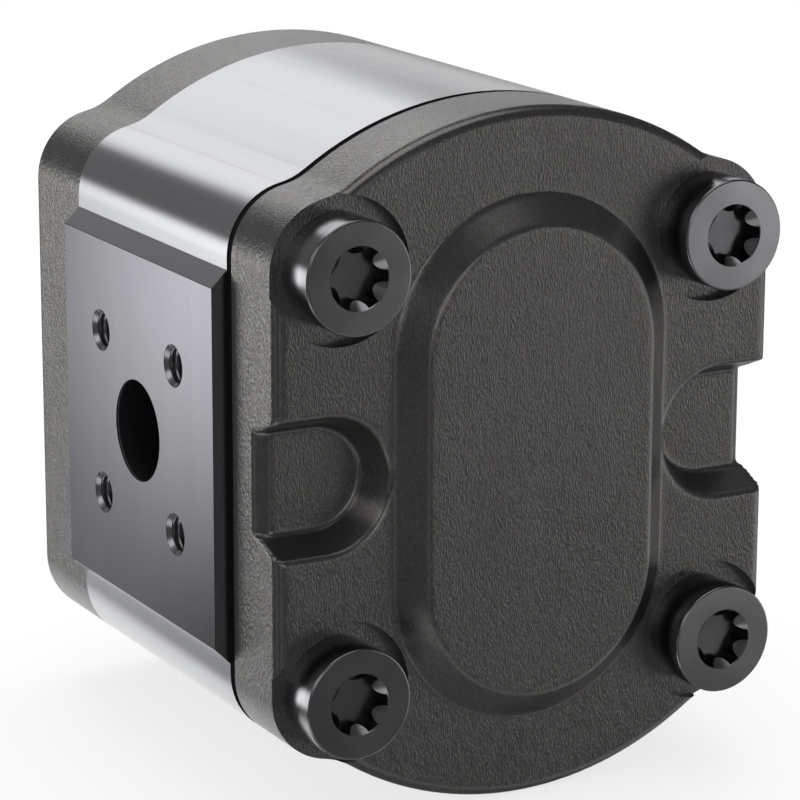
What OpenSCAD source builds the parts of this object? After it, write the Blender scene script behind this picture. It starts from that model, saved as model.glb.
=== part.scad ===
// External gear pump in a three-piece housing, in millimetres.
// The drive shaft runs along +Y and the origin lies on its axis at the mounting face.
// Seen from the rear cover, X points right and Z points up, and the pressure port is on the left.

/* [Housing outline] */
// Distance between neighbouring cover screws, along X and along Z
screw_spacing = 60; // [58:0.5:63]
// Radius of the rounded lug around each cover screw
lug_r = 10; // [9:0.5:12]
// Radius of the domed top and bottom, about the middle of the housing
dome_r = 50; // [48:0.5:52]
// Radius of the hollow between a lug and the dome
blend_r = 10; // [6:0.5:14]

/* [Body] */
// Length of the extruded body between its two joints
body_len = 50; // [46:0.1:60]
// Height of each port pad above the side of the body
pad_rise = 2.4; // [1.5:0.1:4]
// Length of each port pad's flat, along Z
pad_h = 52; // [48:1:56]

/* [Ports] */
// Diameter of the pressure port
pressure_port_d = 15; // [12:0.5:17]
// Pitch circle of the four pressure port screws
pressure_port_pcd = 35; // [32:0.5:38]
// Diameter of the suction port
suction_port_d = 20; // [16:0.5:22]
// Pitch circle of the four suction port screws
suction_port_pcd = 40; // [38:0.5:44]
// Depth of the full port bore below its pad
port_depth = 18; // [14:0.5:20]
// Step on radius between a port bore and the passage to the gears
port_step = 1; // [0.5:0.1:2]
// Thread diameter of the port screws
port_screw_d = 6; // [5:1:8]
// Thread pitch of the port screws
port_screw_pitch = 1; // [0.8:0.05:1.25]
// Depth of the tapped port holes
port_screw_depth = 13; // [10:0.5:15]
// Countersink at the mouth of the tapped port holes
port_screw_chamfer = 0.6; // [0.3:0.1:1]

/* [Rear cover] */
// Thickness of the rear cover at its main face
rear_cover_t = 13.25; // [12:0.25:18]
// Height of the raised oblong above the main face
oblong_rise = 3.45; // [2:0.05:5]
// Radius at the foot of the raised oblong
oblong_foot_r = 22; // [20:0.25:22.4]
// Radius at the top of the raised oblong
oblong_top_r = 18; // [15:0.25:19]
// Depth of the two side recesses
recess_depth = 5.45; // [3:0.05:7]
// Radius of a side recess at its floor
recess_floor_r = 7.5; // [6:0.25:9]
// Widening of a side recess from its floor to its mouth
recess_draft = 2.3; // [1:0.1:3]
// Distance from the middle of the pump to the round end's centre of a side recess
recess_centre = 32; // [30:0.5:34]
// Bevel at the open edge of a side recess's floor
recess_bevel = 1.8; // [0.5:0.1:3]
// Diameter of the spot faces under the screw heads
spot_face_d = 21; // [18:0.5:22]
// Depth of the spot faces
spot_face_depth = 1.75; // [1.75:0.25:4]
// Rounding of the rim of both cast covers
rim_r = 1.5; // [0.5:0.1:1.7]

/* [Front cover] */
// Thickness of the front cover
front_cover_t = 16.5; // [14:0.5:22]
// Diameter of the pilot
pilot_d = 50; // [46:1:54]
// Height of the pilot
pilot_h = 7; // [6:0.25:9]
// Chamfer at the end of the pilot
pilot_chamfer = 1; // [0.5:0.25:1.5]
// Thread diameter of the two mounting screws
mount_screw_d = 10; // [8:1:10]
// Thread pitch of the two mounting screws
mount_screw_pitch = 1.5; // [1.25:0.25:1.5]
// Distance between the two mounting screws
mount_screw_spacing = 60; // [59:0.5:62]
// Depth of the tapped mounting holes
mount_screw_depth = 13; // [10:0.5:13]

/* [Cover screws] */
// Thread diameter of the cover screws
screw_d = 10; // [8:1:10]
// Thread pitch of the cover screws
screw_pitch = 1.5; // [1.25:0.25:1.5]
// Diameter of the screw heads
screw_head_d = 16; // [15:0.5:18]
// Height of the screw heads
screw_head_h = 7; // [6.5:0.25:10]
// Chamfer around the screw heads
screw_head_chamfer = 0.5; // [0.2:0.1:1]
// Diameter over the points of the six-lobe socket
socket_d = 8.8; // [7:0.1:9]
// Depth of the six-lobe socket
socket_depth = 4.6; // [3:0.1:6]
// Depth of the cone at the mouth of the socket
socket_cone_depth = 1; // [0.4:0.1:1.4]
// Length of thread that each cover screw has in the front cover
screw_grip = 10; // [8:0.5:12]

/* [Gears] */
// Teeth on each gear
teeth = 12; // [12:1:13]
// Module of the teeth
gear_module = 2.5; // [2.45:0.01:2.6]
// Pressure angle of the teeth, in degrees
pressure_angle = 20; // [19:0.5:21]
// Distance between the two gear axes
centre_distance = 32; // [31.6:0.1:32.4]
// Width of the gears
gear_w = 20; // [16:0.5:26]
// Clearance between a tooth tip and the other gear's root
root_clearance = 0.47; // [0.4:0.01:0.7]
// Gap between the working flanks, along the pitch circle
backlash = 0.12; // [0.08:0.01:0.2]
// Radius of the fillet at the root of the teeth
root_fillet_r = 0.5; // [0.3:0.05:0.6]

/* [Shafts] */
// Diameter of the journals and of the shaft through its seal
journal_d = 18; // [17:0.5:19]
// Length of the journals inside their bushes
journal_len = 14.2; // [12:0.1:14.6]
// Diameter of the drive end outside the pilot
drive_end_d = 17; // [15:0.5:17.5]
// Length of the round drive end past the pilot
drive_end_len = 9; // [6:0.5:20]
// Thickness of the driving tang
tang_t = 8; // [6:0.5:9]
// Length of the driving tang
tang_len = 7; // [5:0.5:10]
// Chamfer at shaft ends
shaft_chamfer = 0.8; // [0.3:0.1:1]
// Wall of the bearing bushes
bush_wall = 1.5; // [1:0.1:2]

/* [Bearing blocks] */
// Depth of the seal groove in the back of a block
seal_groove_depth = 2.5; // [1.5:0.1:4]
// Width of the rubber axial seal
axial_seal_w = 1.8; // [1.2:0.1:2.2]
// Width of the support rings beside the axial seal
support_ring_w = 1.4; // [1:0.1:1.6]
// Depth of the relief pockets beside the meshing teeth
relief_depth = 1.5; // [0.8:0.1:3]
// Height of the relief pockets, along Z
relief_h = 8; // [6:0.5:9]
// Distance between the two relief pockets of a block
relief_bridge = 6; // [4:0.5:8]

/* [Seals and pins] */
// Thickness of the rear gasket
gasket_t = 1.4; // [0.5:0.1:1.6]
// Distance of the gasket's edge inside the housing outline
gasket_inset = 0.25; // [0.05:0.05:0.4]
// Width of the front body seal
body_seal_w = 2.2; // [1.6:0.1:3]
// Depth of the front body seal's groove
body_seal_depth = 1.8; // [1.2:0.1:3]
// Wall between the gear bores and the front body seal's groove
body_seal_wall = 2.4; // [1.8:0.1:3]
// Outside diameter of the shaft seal
shaft_seal_d = 32; // [30:0.5:34]
// Width of the shaft seal
shaft_seal_w = 7; // [6.5:0.5:8]
// Thickness of the circlip that holds the shaft seal
circlip_t = 1.2; // [1:0.1:1.5]
// Depth of the circlip's groove
circlip_bite = 0.9; // [0.6:0.1:1.2]
// Radial width of the circlip
circlip_w = 2.8; // [2.2:0.1:3.2]
// Section diameter of the pilot O-ring
o_ring_d = 2.5; // [2:0.1:3]
// Diameter of the dowel pins
dowel_d = 5; // [4:0.5:6]
// Length of the dowel pins
dowel_len = 10; // [8:0.5:11]
// Distance of the dowel pins from the middle of the pump, along X
dowel_x = 33; // [31:0.5:34]
// Distance of the dowel pins from the middle of the pump, along Z
dowel_z = 14; // [12:0.5:15]

/* [Clearances] */
// Radial gap between a journal and its bush
running_gap = 0.03; // [0.01:0.01:0.08]
// Radial gap between the tooth tips and the body
tip_gap = 0.1; // [0.06:0.01:0.15]
// Gap between a gear and the bearing block at each side
side_gap = 0.05; // [0.03:0.01:0.1]
// Gap between the back of a bearing block and its cover
back_gap = 0.3; // [0.15:0.05:0.5]
// Gap around pieces that are fitted and then stay still
fit_gap = 0.03; // [0.01:0.01:0.08]
// Radial gap between the cover screws and their holes
screw_gap = 0.5; // [0.3:0.1:0.8]
// Radial gap between the shaft and the front cover
passage_gap = 1; // [0.6:0.1:1.5]

/* [Hidden] */
$fn = 96;

// Cuts start and end this far outside what they cut
over = 1;
// Curved blends stop this far short of touching, so that no two walls share a line
kiss = 0.01;

// Levels along Y, from the mounting face to the rear
body_front_y = -front_cover_t;
body_rear_y = body_front_y - body_len;
rear_joint_y = body_rear_y - gasket_t;
rear_face_y = rear_joint_y - rear_cover_t;
spot_face_y = rear_face_y + spot_face_depth;
body_mid_y = (body_front_y + body_rear_y) / 2;
gear_front_y = body_mid_y + gear_w / 2;
gear_rear_y = body_mid_y - gear_w / 2;
block_front_y = body_front_y - back_gap;
block_rear_y = rear_joint_y + back_gap;

// Middle of the housing, between the two gear axes
mid_z = -centre_distance / 2;
idler_z = -centre_distance;
side_x = screw_spacing / 2 + lug_r;
pad_x = side_x + pad_rise;
screw_x = screw_spacing / 2;
signs = [-1, 1];

// Centre of the hollow that is tangent to the dome and to a lug
lug_dist = norm([screw_x, screw_x]);
hollow_dome = dome_r + blend_r;
hollow_lug = lug_r + blend_r;
hollow_along = (pow(hollow_dome, 2) - pow(hollow_lug, 2) + pow(lug_dist, 2)) / (2 * lug_dist);
hollow_off = sqrt(max(0, pow(hollow_dome, 2) - pow(hollow_along, 2)));
hollow_x = (hollow_along - hollow_off) / sqrt(2);
hollow_z = (hollow_along + hollow_off) / sqrt(2);
wedge_start = 0.6;

// Tooth form: two equal gears whose profile shift brings them to the centre distance
pitch_r = gear_module * teeth / 2;
base_r = pitch_r * cos(pressure_angle);
working_angle = acos(2 * base_r / centre_distance);
shift_gain = involute(working_angle) - involute(pressure_angle);
profile_shift = teeth * shift_gain * PI / 180 / (2 * tan(pressure_angle));
root_r = pitch_r + gear_module * (profile_shift - 1.25);
tip_r = centre_distance - root_r - root_clearance;
pitch_tooth = gear_module * (PI / 2 + 2 * profile_shift * tan(pressure_angle)) - backlash;
flank_steps = 8;
tip_run = 0.2;
tooth_pitch = 360 / teeth;

// Bores, bushes and bearing blocks
chamber_r = tip_r + tip_gap;
block_r = chamber_r - fit_gap;
journal_r = journal_d / 2;
bush_in_r = journal_r + running_gap;
bush_out_r = bush_in_r + bush_wall;
bush_seat_r = bush_out_r + fit_gap;
undercut_r = journal_r - 0.3;
undercut_w = 0.8;
support_in_r = (bush_seat_r + block_r - support_ring_w - axial_seal_w - fit_gap) / 2;
support_out_r = support_in_r + support_ring_w;
axial_in_r = support_out_r + fit_gap;
axial_out_r = axial_in_r + axial_seal_w;
axial_end_x = 1;
axial_link_w = 3;

// Leak paths in the covers, from the shaft ends to the suction side
end_recess_r = journal_r + 0.5;
end_recess_depth = 2;
leak_w = 4;
leak_reach = block_r - 2;

// Threads are drawn at their core
screw_core_r = (screw_d - screw_pitch) / 2;
mount_core_r = (mount_screw_d - mount_screw_pitch) / 2;
port_core_r = (port_screw_d - port_screw_pitch) / 2;
screw_hole_depth = screw_grip + 2 * screw_pitch;
drill_point = 0.58;

// Body seal, shaft seal and pilot
body_seal_in_r = chamber_r + body_seal_wall;
body_seal_out_r = body_seal_in_r + body_seal_w + 2 * fit_gap;
seal_seat_r = shaft_seal_d / 2;
seal_out_y = 1;
seal_in_y = seal_out_y - shaft_seal_w;
seal_case_t = 1.2;
seal_flange_r = journal_r + 2.5;
circlip_out_r = seal_seat_r + circlip_bite;
circlip_gap = 4;
circlip_ear_r = 2.2;
circlip_eye_r = 0.9;
garter_r = 0.75;
dowel_float = 1;
dowel_rear_depth = (dowel_len + dowel_float - gasket_t) / 2;
dowel_front_depth = (dowel_len + dowel_float) / 2;
pilot_r = pilot_d / 2;
o_ring_seat_r = pilot_r - o_ring_d - 2 * fit_gap;
o_ring_r = o_ring_seat_r + fit_gap + o_ring_d / 2;
o_ring_y = pilot_h / 2;
o_ring_groove_w = o_ring_d + 0.4;

// Six-lobe socket
socket_r = socket_d / 2;
flute_r = socket_r * 0.352;
flute_centre = socket_r * 1.08;
flute_turn = 30;
socket_mouth_r = socket_r + 0.1;
socket_core_r = flute_centre - flute_r - 0.1;
socket_point = 0.25;

function involute(a) = tan(a) * 180 / PI - a;
function polar(r, a) = [r * cos(a), r * sin(a)];
// Half the angle that a tooth fills at radius r
function tooth_half(r) =
  pitch_tooth / (2 * pitch_r) * 180 / PI
  + involute(pressure_angle)
  - involute(acos(min(1, base_r / r)));
flank = [
  for (i = [0 : flank_steps])
    let (r = base_r + (tip_r + tip_run - base_r) * pow(i / flank_steps, 1.4))
    [r, tooth_half(r)]
];
root = [
  for (a = [90 : -30 : 0])
    let (r = root_r + root_fillet_r * (1 - sin(a)))
    [r, tooth_half(base_r) + root_fillet_r * (1 - cos(a)) / root_r * 180 / PI]
];
tooth_side = concat([[root_r - root_fillet_r, root[0][1]]], root, flank);
// Quarter round of radius c, from the wall at r to the face at height t
function rim_round(r, t, c) = [for (a = [0 : 22.5 : 90]) [r - c + c * cos(a), t - c + c * sin(a)]];
function rim_flare(r, t, c) = [for (a = [0 : 22.5 : 90]) [r + c - c * cos(a), t - c + c * sin(a)]];

// A flat shape, drawn in X and Z, carried along Y from y0 to y1
module span(y0, y1) {
  translate([0, y1, 0])
    rotate([90, 0, 0])
      linear_extrude(y1 - y0)
        children();
}

// A turned shape about an axis along Y, from points of radius and Y
module turned(x, z, points) {
  translate([x, 0, z])
    rotate([-90, 0, 0])
      rotate_extrude()
        polygon(points);
}

module round_bar(x, z, r, y0, y1) {
  turned(x, z, [[0, y0], [r, y0], [r, y1], [0, y1]]);
}

module tube(x, z, r_in, r_out, y0, y1) {
  turned(x, z, [[r_in, y0], [r_out, y0], [r_out, y1], [r_in, y1]]);
}

// Blind hole along Y with a drill point, from the mouth at y0 inwards to y1
module drilled_y(x, z, r, y0, y1) {
  way = sign(y1 - y0);
  turned(x, z, [[0, y0 - way * over], [r, y0 - way * over], [r, y1], [0, y1 + way * r * drill_point]]);
}

module at_cover_screws() {
  for (sx = signs)
    for (sz = signs)
      translate([sx * screw_x, 0, mid_z + sz * screw_x])
        children();
}

module at_dowels() {
  for (s = signs)
    translate([s * dowel_x, 0, mid_z - s * dowel_z])
      children();
}

// Wedge from inside the dome and the lug to the centre of the hollow between them
module hollow_wedge(sx, sz) {
  inside = [sx * hollow_x * wedge_start, sz * hollow_z * wedge_start];
  lug = [sx * screw_x, sz * screw_x];
  hollow = [sx * hollow_x, sz * hollow_z];
  polygon(sx * sz > 0 ? [inside, lug, hollow] : [inside, hollow, lug]);
}

// Outline of the housing in X and Z about its middle, moved inwards by inset
module outline(inset = 0) {
  reach = side_x - inset;
  intersection() {
    circle(dome_r - inset);
    square([2 * reach, 2 * dome_r + over], center = true);
  }
  square([2 * reach, screw_spacing], center = true);
  for (sx = signs)
    for (sz = signs) {
      translate([sx * screw_x, sz * screw_x])
        circle(lug_r - inset);
      difference() {
        hollow_wedge(sx, sz);
        translate([sx * hollow_x, sz * hollow_z])
          circle(blend_r + inset - kiss);
      }
    }
}

// Section of a cast strip of thickness t with both upper edges rounded
function rim_strip(reach, t) = concat(
  [[-reach, 0], [reach, 0]],
  rim_round(reach, t, rim_r),
  [for (a = [90 : 22.5 : 180]) [rim_r - reach + rim_r * cos(a), t - rim_r + rim_r * sin(a)]]
);

// A cast cover blank of thickness t on the plane Z = 0, with its upper rim rounded
module cast_blank(t) {
  intersection() {
    rotate_extrude()
      polygon(concat([[0, 0], [dome_r, 0]], rim_round(dome_r, t, rim_r), [[0, t]]));
    rotate([90, 0, 0])
      linear_extrude(2 * dome_r + over, center = true)
        polygon(rim_strip(side_x, t));
  }
  rotate([90, 0, 0])
    linear_extrude(screw_spacing, center = true)
      polygon(rim_strip(side_x, t));
  for (sx = signs)
    for (sz = signs) {
      translate([sx * screw_x, sz * screw_x, 0])
        rotate_extrude()
          polygon(concat([[0, 0], [lug_r, 0]], rim_round(lug_r, t, rim_r), [[0, t]]));
      difference() {
        linear_extrude(t)
          hollow_wedge(sx, sz);
        translate([sx * hollow_x, sz * hollow_z, 0])
          rotate_extrude()
            polygon(concat(
              [[0, -over], [blend_r - kiss, -over]],
              rim_flare(blend_r - kiss, t, rim_r),
              [[blend_r + rim_r, t + over], [0, t + over]]
            ));
      }
    }
}

// Raised oblong with sloping sides, on the plane Z = 0
module raised_oblong() {
  reach = centre_distance / 2;
  for (s = signs)
    translate([0, s * reach, 0])
      cylinder(r1 = oblong_foot_r, r2 = oblong_top_r, h = oblong_rise);
  rotate([90, 0, 0])
    linear_extrude(centre_distance, center = true)
      polygon([
        [-oblong_foot_r, 0], [oblong_foot_r, 0],
        [oblong_top_r, oblong_rise], [-oblong_top_r, oblong_rise]
      ]);
}

// Tool for a side recess, its floor on the plane Z = 0 and its open end at the side s
module side_recess(s) {
  mouth_r = recess_floor_r + recess_draft;
  length = side_x - recess_centre + over;
  slope = recess_draft / recess_depth;
  top_r = mouth_r + over * slope;
  top_h = recess_depth + over;
  translate([s * recess_centre, 0, 0])
    cylinder(r1 = recess_floor_r, r2 = top_r, h = top_h);
  translate([s * (recess_centre + length / 2), 0, 0])
    rotate([90, 0, 90])
      linear_extrude(length, center = true)
        polygon([[-recess_floor_r, 0], [recess_floor_r, 0], [top_r, top_h], [-top_r, top_h]]);
  rotate([90, 0, 0])
    linear_extrude(2 * recess_floor_r, center = true)
      polygon([
        [s * (side_x - recess_bevel), over], [s * (side_x - recess_bevel), 0],
        [s * side_x, -recess_bevel], [s * (side_x + over), -recess_bevel],
        [s * (side_x + over), over]
      ]);
}

// Recesses in a cover's inner face at y, over the shaft ends, with their leak paths
module end_recesses(y, way) {
  y_in = y + way * end_recess_depth;
  lo = min(y - way * over, y_in);
  hi = max(y - way * over, y_in);
  for (z = [0, idler_z]) {
    round_bar(0, z, end_recess_r, lo, hi);
    translate([0, lo, z - leak_w / 2])
      cube([leak_reach, hi - lo, leak_w]);
  }
}

module rear_cover() {
  color([0.27, 0.26, 0.25])
    difference() {
      translate([0, rear_joint_y, mid_z])
        rotate([90, 0, 0])
          difference() {
            union() {
              cast_blank(rear_cover_t);
              translate([0, 0, rear_cover_t])
                raised_oblong();
            }
            for (s = signs)
              translate([0, 0, rear_cover_t - recess_depth])
                side_recess(s);
          }
      at_cover_screws() {
        round_bar(0, 0, spot_face_d / 2, rear_face_y - oblong_rise, spot_face_y);
        round_bar(0, 0, screw_d / 2 + screw_gap, rear_face_y, rear_joint_y + over);
      }
      at_dowels()
        drilled_y(0, 0, dowel_d / 2 + fit_gap, rear_joint_y, rear_joint_y - dowel_rear_depth);
      end_recesses(rear_joint_y, -1);
    }
}

module figure_eight(r) {
  circle(r);
  translate([0, idler_z])
    circle(r);
}

// Screw hole for a port at side s: core, drill point and countersink
module port_screw_hole(s, pcd) {
  depth = port_screw_depth;
  for (sy = signs)
    for (sz = signs)
      translate([s * pad_x, body_mid_y + sy * pcd / (2 * sqrt(2)), mid_z + sz * pcd / (2 * sqrt(2))])
        rotate([0, -90 * s, 0])
          rotate_extrude()
            polygon([
              [0, -over], [port_core_r + port_screw_chamfer + over, -over],
              [port_core_r, port_screw_chamfer], [port_core_r, depth],
              [0, depth + port_core_r * drill_point]
            ]);
}

// Port at side s: full bore from the pad, then a narrower passage to the gears
module port_bore(s, d, pcd) {
  translate([s * pad_x, body_mid_y, mid_z])
    rotate([0, -90 * s, 0])
      rotate_extrude()
        polygon([
          [0, -over], [d / 2, -over], [d / 2, port_depth], [d / 2 - port_step, port_depth],
          [d / 2 - port_step, pad_x - chamber_r / 3], [0, pad_x - chamber_r / 3]
        ]);
  port_screw_hole(s, pcd);
}

module pump_body() {
  color([0.78, 0.79, 0.82])
    difference() {
      union() {
        translate([0, 0, mid_z])
          span(body_rear_y, body_front_y)
            outline();
        translate([0, 0, mid_z])
          span(body_rear_y, body_front_y)
            polygon([
              for (s = signs)
                each [
                  [s * pad_x, -s * pad_h / 2], [s * pad_x, s * pad_h / 2],
                  [s * side_x, s * (pad_h / 2 + pad_rise)], [-s * side_x, s * (pad_h / 2 + pad_rise)]
                ]
            ]);
      }
      span(body_rear_y - over, body_front_y + over)
        figure_eight(chamber_r);
      at_cover_screws()
        round_bar(0, 0, screw_d / 2 + screw_gap, body_rear_y - over, body_front_y + over);
      at_dowels() {
        drilled_y(0, 0, dowel_d / 2 + fit_gap, body_rear_y, body_rear_y + dowel_rear_depth);
        drilled_y(0, 0, dowel_d / 2 + fit_gap, body_front_y, body_front_y - dowel_front_depth);
      }
      port_bore(-1, pressure_port_d, pressure_port_pcd);
      port_bore(1, suction_port_d, suction_port_pcd);
    }
}

// Oblong ring around both gear bores, in X and Z
module oblong_ring(r_in, r_out) {
  difference() {
    oblong(r_out);
    oblong(r_in);
  }
}

module oblong(r) {
  figure_eight(r);
  translate([-r, idler_z])
    square([2 * r, centre_distance]);
}

module o_ring_groove() {
  half = o_ring_groove_w / 2;
  tube(0, 0, o_ring_seat_r, pilot_r + over, o_ring_y - half, o_ring_y + half);
}

module front_cover() {
  color([0.3, 0.29, 0.28])
    difference() {
      union() {
        translate([0, body_front_y, mid_z])
          rotate([-90, 0, 0])
            cast_blank(front_cover_t);
        turned(0, 0, [
          [0, -over], [pilot_r, -over], [pilot_r, pilot_h - pilot_chamfer],
          [pilot_r - pilot_chamfer, pilot_h], [0, pilot_h]
        ]);
      }
      o_ring_groove();
      round_bar(0, 0, journal_r + passage_gap, body_front_y - over, pilot_h);
      round_bar(0, 0, seal_seat_r, seal_in_y, pilot_h + over);
      round_bar(0, 0, circlip_out_r + fit_gap, seal_out_y, seal_out_y + circlip_t + 2 * fit_gap);
      end_recesses(body_front_y, 1);
      span(body_front_y - over, body_front_y + body_seal_depth)
        oblong_ring(body_seal_in_r, body_seal_out_r);
      at_cover_screws()
        drilled_y(0, 0, screw_core_r, body_front_y, body_front_y + screw_hole_depth);
      at_dowels()
        drilled_y(0, 0, dowel_d / 2 + fit_gap, body_front_y, body_front_y + dowel_front_depth);
      for (s = signs)
        drilled_y(s * mount_screw_spacing / 2, mid_z, mount_core_r, 0, -mount_screw_depth);
    }
}

// Six-lobe socket shape about the origin
module six_lobes() {
  difference() {
    circle(socket_r);
    for (i = [0 : 5])
      translate(polar(flute_centre, flute_turn + 60 * i))
        circle(flute_r);
  }
}

module cover_screw() {
  head_y = spot_face_y - screw_head_h;
  core_y = body_front_y - screw_pitch;
  difference() {
    turned(0, 0, [
      [0, head_y], [screw_head_d / 2 - screw_head_chamfer, head_y],
      [screw_head_d / 2, head_y + screw_head_chamfer], [screw_head_d / 2, spot_face_y],
      [screw_d / 2, spot_face_y], [screw_d / 2, core_y], [screw_core_r - fit_gap, core_y + screw_pitch],
      [screw_core_r - fit_gap, body_front_y + screw_grip], [0, body_front_y + screw_grip]
    ]);
    turned(0, 0, [
      [0, head_y - over], [socket_mouth_r, head_y - over], [socket_mouth_r, head_y],
      [socket_core_r, head_y + socket_cone_depth], [socket_core_r, head_y + socket_depth],
      [0, head_y + socket_depth + socket_core_r * socket_point]
    ]);
    span(head_y, head_y + socket_depth)
      six_lobes();
  }
}

module cover_screws() {
  color([0.4, 0.4, 0.43])
    at_cover_screws()
      cover_screw();
}

module rear_gasket() {
  color([0.05, 0.05, 0.05])
    difference() {
      translate([0, 0, mid_z])
        span(rear_joint_y, body_rear_y)
          outline(gasket_inset);
      span(rear_joint_y - over, body_rear_y + over)
        figure_eight(chamber_r + gasket_t);
      at_cover_screws()
        round_bar(0, 0, screw_d / 2 + screw_gap, rear_joint_y - over, body_rear_y + over);
      at_dowels()
        round_bar(0, 0, dowel_d / 2 + fit_gap, rear_joint_y - over, body_rear_y + over);
    }
}

module front_body_seal() {
  color([0.08, 0.08, 0.08])
    span(body_front_y, body_front_y + body_seal_depth)
      oblong_ring(body_seal_in_r + fit_gap, body_seal_out_r - fit_gap);
}

// Two arcs around the gear bores, on the pressure side only
module pressure_arcs(r_in, r_out, end_x) {
  intersection() {
    difference() {
      figure_eight(r_out);
      figure_eight(r_in);
    }
    translate([-2 * r_out, idler_z - 2 * r_out])
      square([2 * r_out + end_x, centre_distance + 4 * r_out]);
  }
}

// The arcs and the short link that joins them between the shafts, shaped like a 3
module seal_path(r_in, r_out, gap) {
  link = centre_distance / 2 - r_in + gap;
  pressure_arcs(r_in, r_out, axial_end_x + gap);
  translate([axial_end_x - axial_link_w - gap, mid_z - link])
    square([axial_link_w + 2 * gap, 2 * link]);
}

// Bearing block between y_gear, its face at the gears, and y_back, its face at a cover
module bearing_block(y_gear, y_back) {
  lo = min(y_gear, y_back);
  hi = max(y_gear, y_back);
  way = sign(y_back - y_gear);
  groove_y = y_back - way * seal_groove_depth;
  pocket_y = y_gear + way * relief_depth;
  difference() {
    span(lo, hi)
      figure_eight(block_r);
    for (z = [0, idler_z])
      round_bar(0, z, bush_seat_r, lo - over, hi + over);
    span(min(groove_y, y_back + way * over), max(groove_y, y_back + way * over)) {
      pressure_arcs(support_in_r - fit_gap, axial_out_r + fit_gap, axial_end_x + fit_gap);
      seal_path(axial_in_r, axial_out_r, fit_gap);
    }
    for (s = signs)
      span(min(pocket_y, y_gear - way * over), max(pocket_y, y_gear - way * over))
        translate([s * (relief_bridge + block_r) / 2, mid_z])
          square([block_r, relief_h], center = true);
  }
}

module front_bearing_block() {
  color([0.7, 0.71, 0.74])
    bearing_block(gear_front_y + side_gap, block_front_y);
}

module rear_bearing_block() {
  color([0.7, 0.71, 0.74])
    bearing_block(gear_rear_y - side_gap, block_rear_y);
}

module bush(z, y0, y1) {
  color([0.62, 0.47, 0.3])
    tube(0, z, bush_in_r, bush_out_r, y0, y1);
}

module drive_bush_front() {
  bush(0, gear_front_y + side_gap, block_front_y);
}

module drive_bush_rear() {
  bush(0, block_rear_y, gear_rear_y - side_gap);
}

module idler_bush_front() {
  bush(idler_z, gear_front_y + side_gap, block_front_y);
}

module idler_bush_rear() {
  bush(idler_z, block_rear_y, gear_rear_y - side_gap);
}

// Rubber seal from the floor of a block's groove to the cover
module axial_seal(y0, y1) {
  color([0.07, 0.07, 0.07])
    span(y0, y1)
      seal_path(axial_in_r, axial_out_r, 0);
}

module front_axial_seal() {
  axial_seal(block_front_y - seal_groove_depth, body_front_y);
}

module rear_axial_seal() {
  axial_seal(rear_joint_y, block_rear_y + seal_groove_depth);
}

module support_rings(y0, y1) {
  color([0.86, 0.82, 0.7])
    span(y0, y1)
      difference() {
        pressure_arcs(support_in_r, support_out_r, axial_end_x);
        seal_path(axial_in_r, axial_out_r, fit_gap);
      }
}

module front_support_rings() {
  support_rings(block_front_y - seal_groove_depth, block_front_y);
}

module rear_support_rings() {
  support_rings(block_rear_y, block_rear_y + seal_groove_depth);
}

module shaft_seal_case() {
  r = seal_seat_r - fit_gap;
  color([0.45, 0.45, 0.47])
    turned(0, 0, [
      [r - seal_case_t, seal_in_y], [r, seal_in_y], [r, seal_out_y], [seal_flange_r, seal_out_y],
      [seal_flange_r, seal_out_y - seal_case_t], [r - seal_case_t, seal_out_y - seal_case_t]
    ]);
}

module shaft_seal_lip() {
  inner = seal_out_y - seal_case_t;
  edge = journal_r + running_gap;
  color([0.12, 0.12, 0.12])
    difference() {
      turned(0, 0, [
        [seal_flange_r + 1.5, inner], [seal_flange_r + 1.5, inner - 0.9], [edge + 1.4, inner - 1.4],
        [edge + 2.3, seal_in_y + 1.8], [edge + 2.3, seal_in_y + 0.6], [edge + 1, seal_in_y + 0.6],
        [edge, seal_in_y + 1.9], [edge + 0.7, inner - 0.6], [edge + 0.7, seal_out_y],
        [seal_flange_r, seal_out_y], [seal_flange_r, inner]
      ]);
      garter(garter_r + fit_gap);
    }
}

module garter(r) {
  translate([0, seal_in_y + 1.6, 0])
    rotate([-90, 0, 0])
      rotate_extrude()
        translate([journal_r + 2.4, 0])
          circle(r);
}

module shaft_seal_spring() {
  color([0.7, 0.7, 0.72])
    garter(garter_r);
}

module seal_circlip() {
  mid_r = circlip_out_r - circlip_w / 2;
  ear_r = circlip_out_r - circlip_w - circlip_ear_r / 2;
  ear_a = asin((circlip_gap / 2 + circlip_ear_r) / ear_r);
  color([0.3, 0.3, 0.32])
    span(seal_out_y, seal_out_y + circlip_t)
      difference() {
        union() {
          difference() {
            circle(circlip_out_r);
            circle(circlip_out_r - circlip_w);
          }
          for (s = signs)
            translate(polar(ear_r, -90 + s * ear_a))
              circle(circlip_ear_r);
        }
        translate([-circlip_gap / 2, -circlip_out_r - over])
          square([circlip_gap, mid_r]);
        for (s = signs)
          translate(polar(ear_r, -90 + s * ear_a))
            circle(circlip_eye_r);
      }
}

module pilot_o_ring() {
  color([0.06, 0.06, 0.06])
    translate([0, o_ring_y, 0])
      rotate([-90, 0, 0])
        rotate_extrude()
          translate([o_ring_r, 0])
            circle(o_ring_d / 2);
}

module dowels(y_mid) {
  color([0.66, 0.67, 0.69])
    at_dowels()
      round_bar(0, 0, dowel_d / 2, y_mid - dowel_len / 2, y_mid + dowel_len / 2);
}

module front_dowels() {
  dowels(body_front_y);
}

module rear_dowels() {
  dowels((rear_joint_y + body_rear_y) / 2);
}

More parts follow.
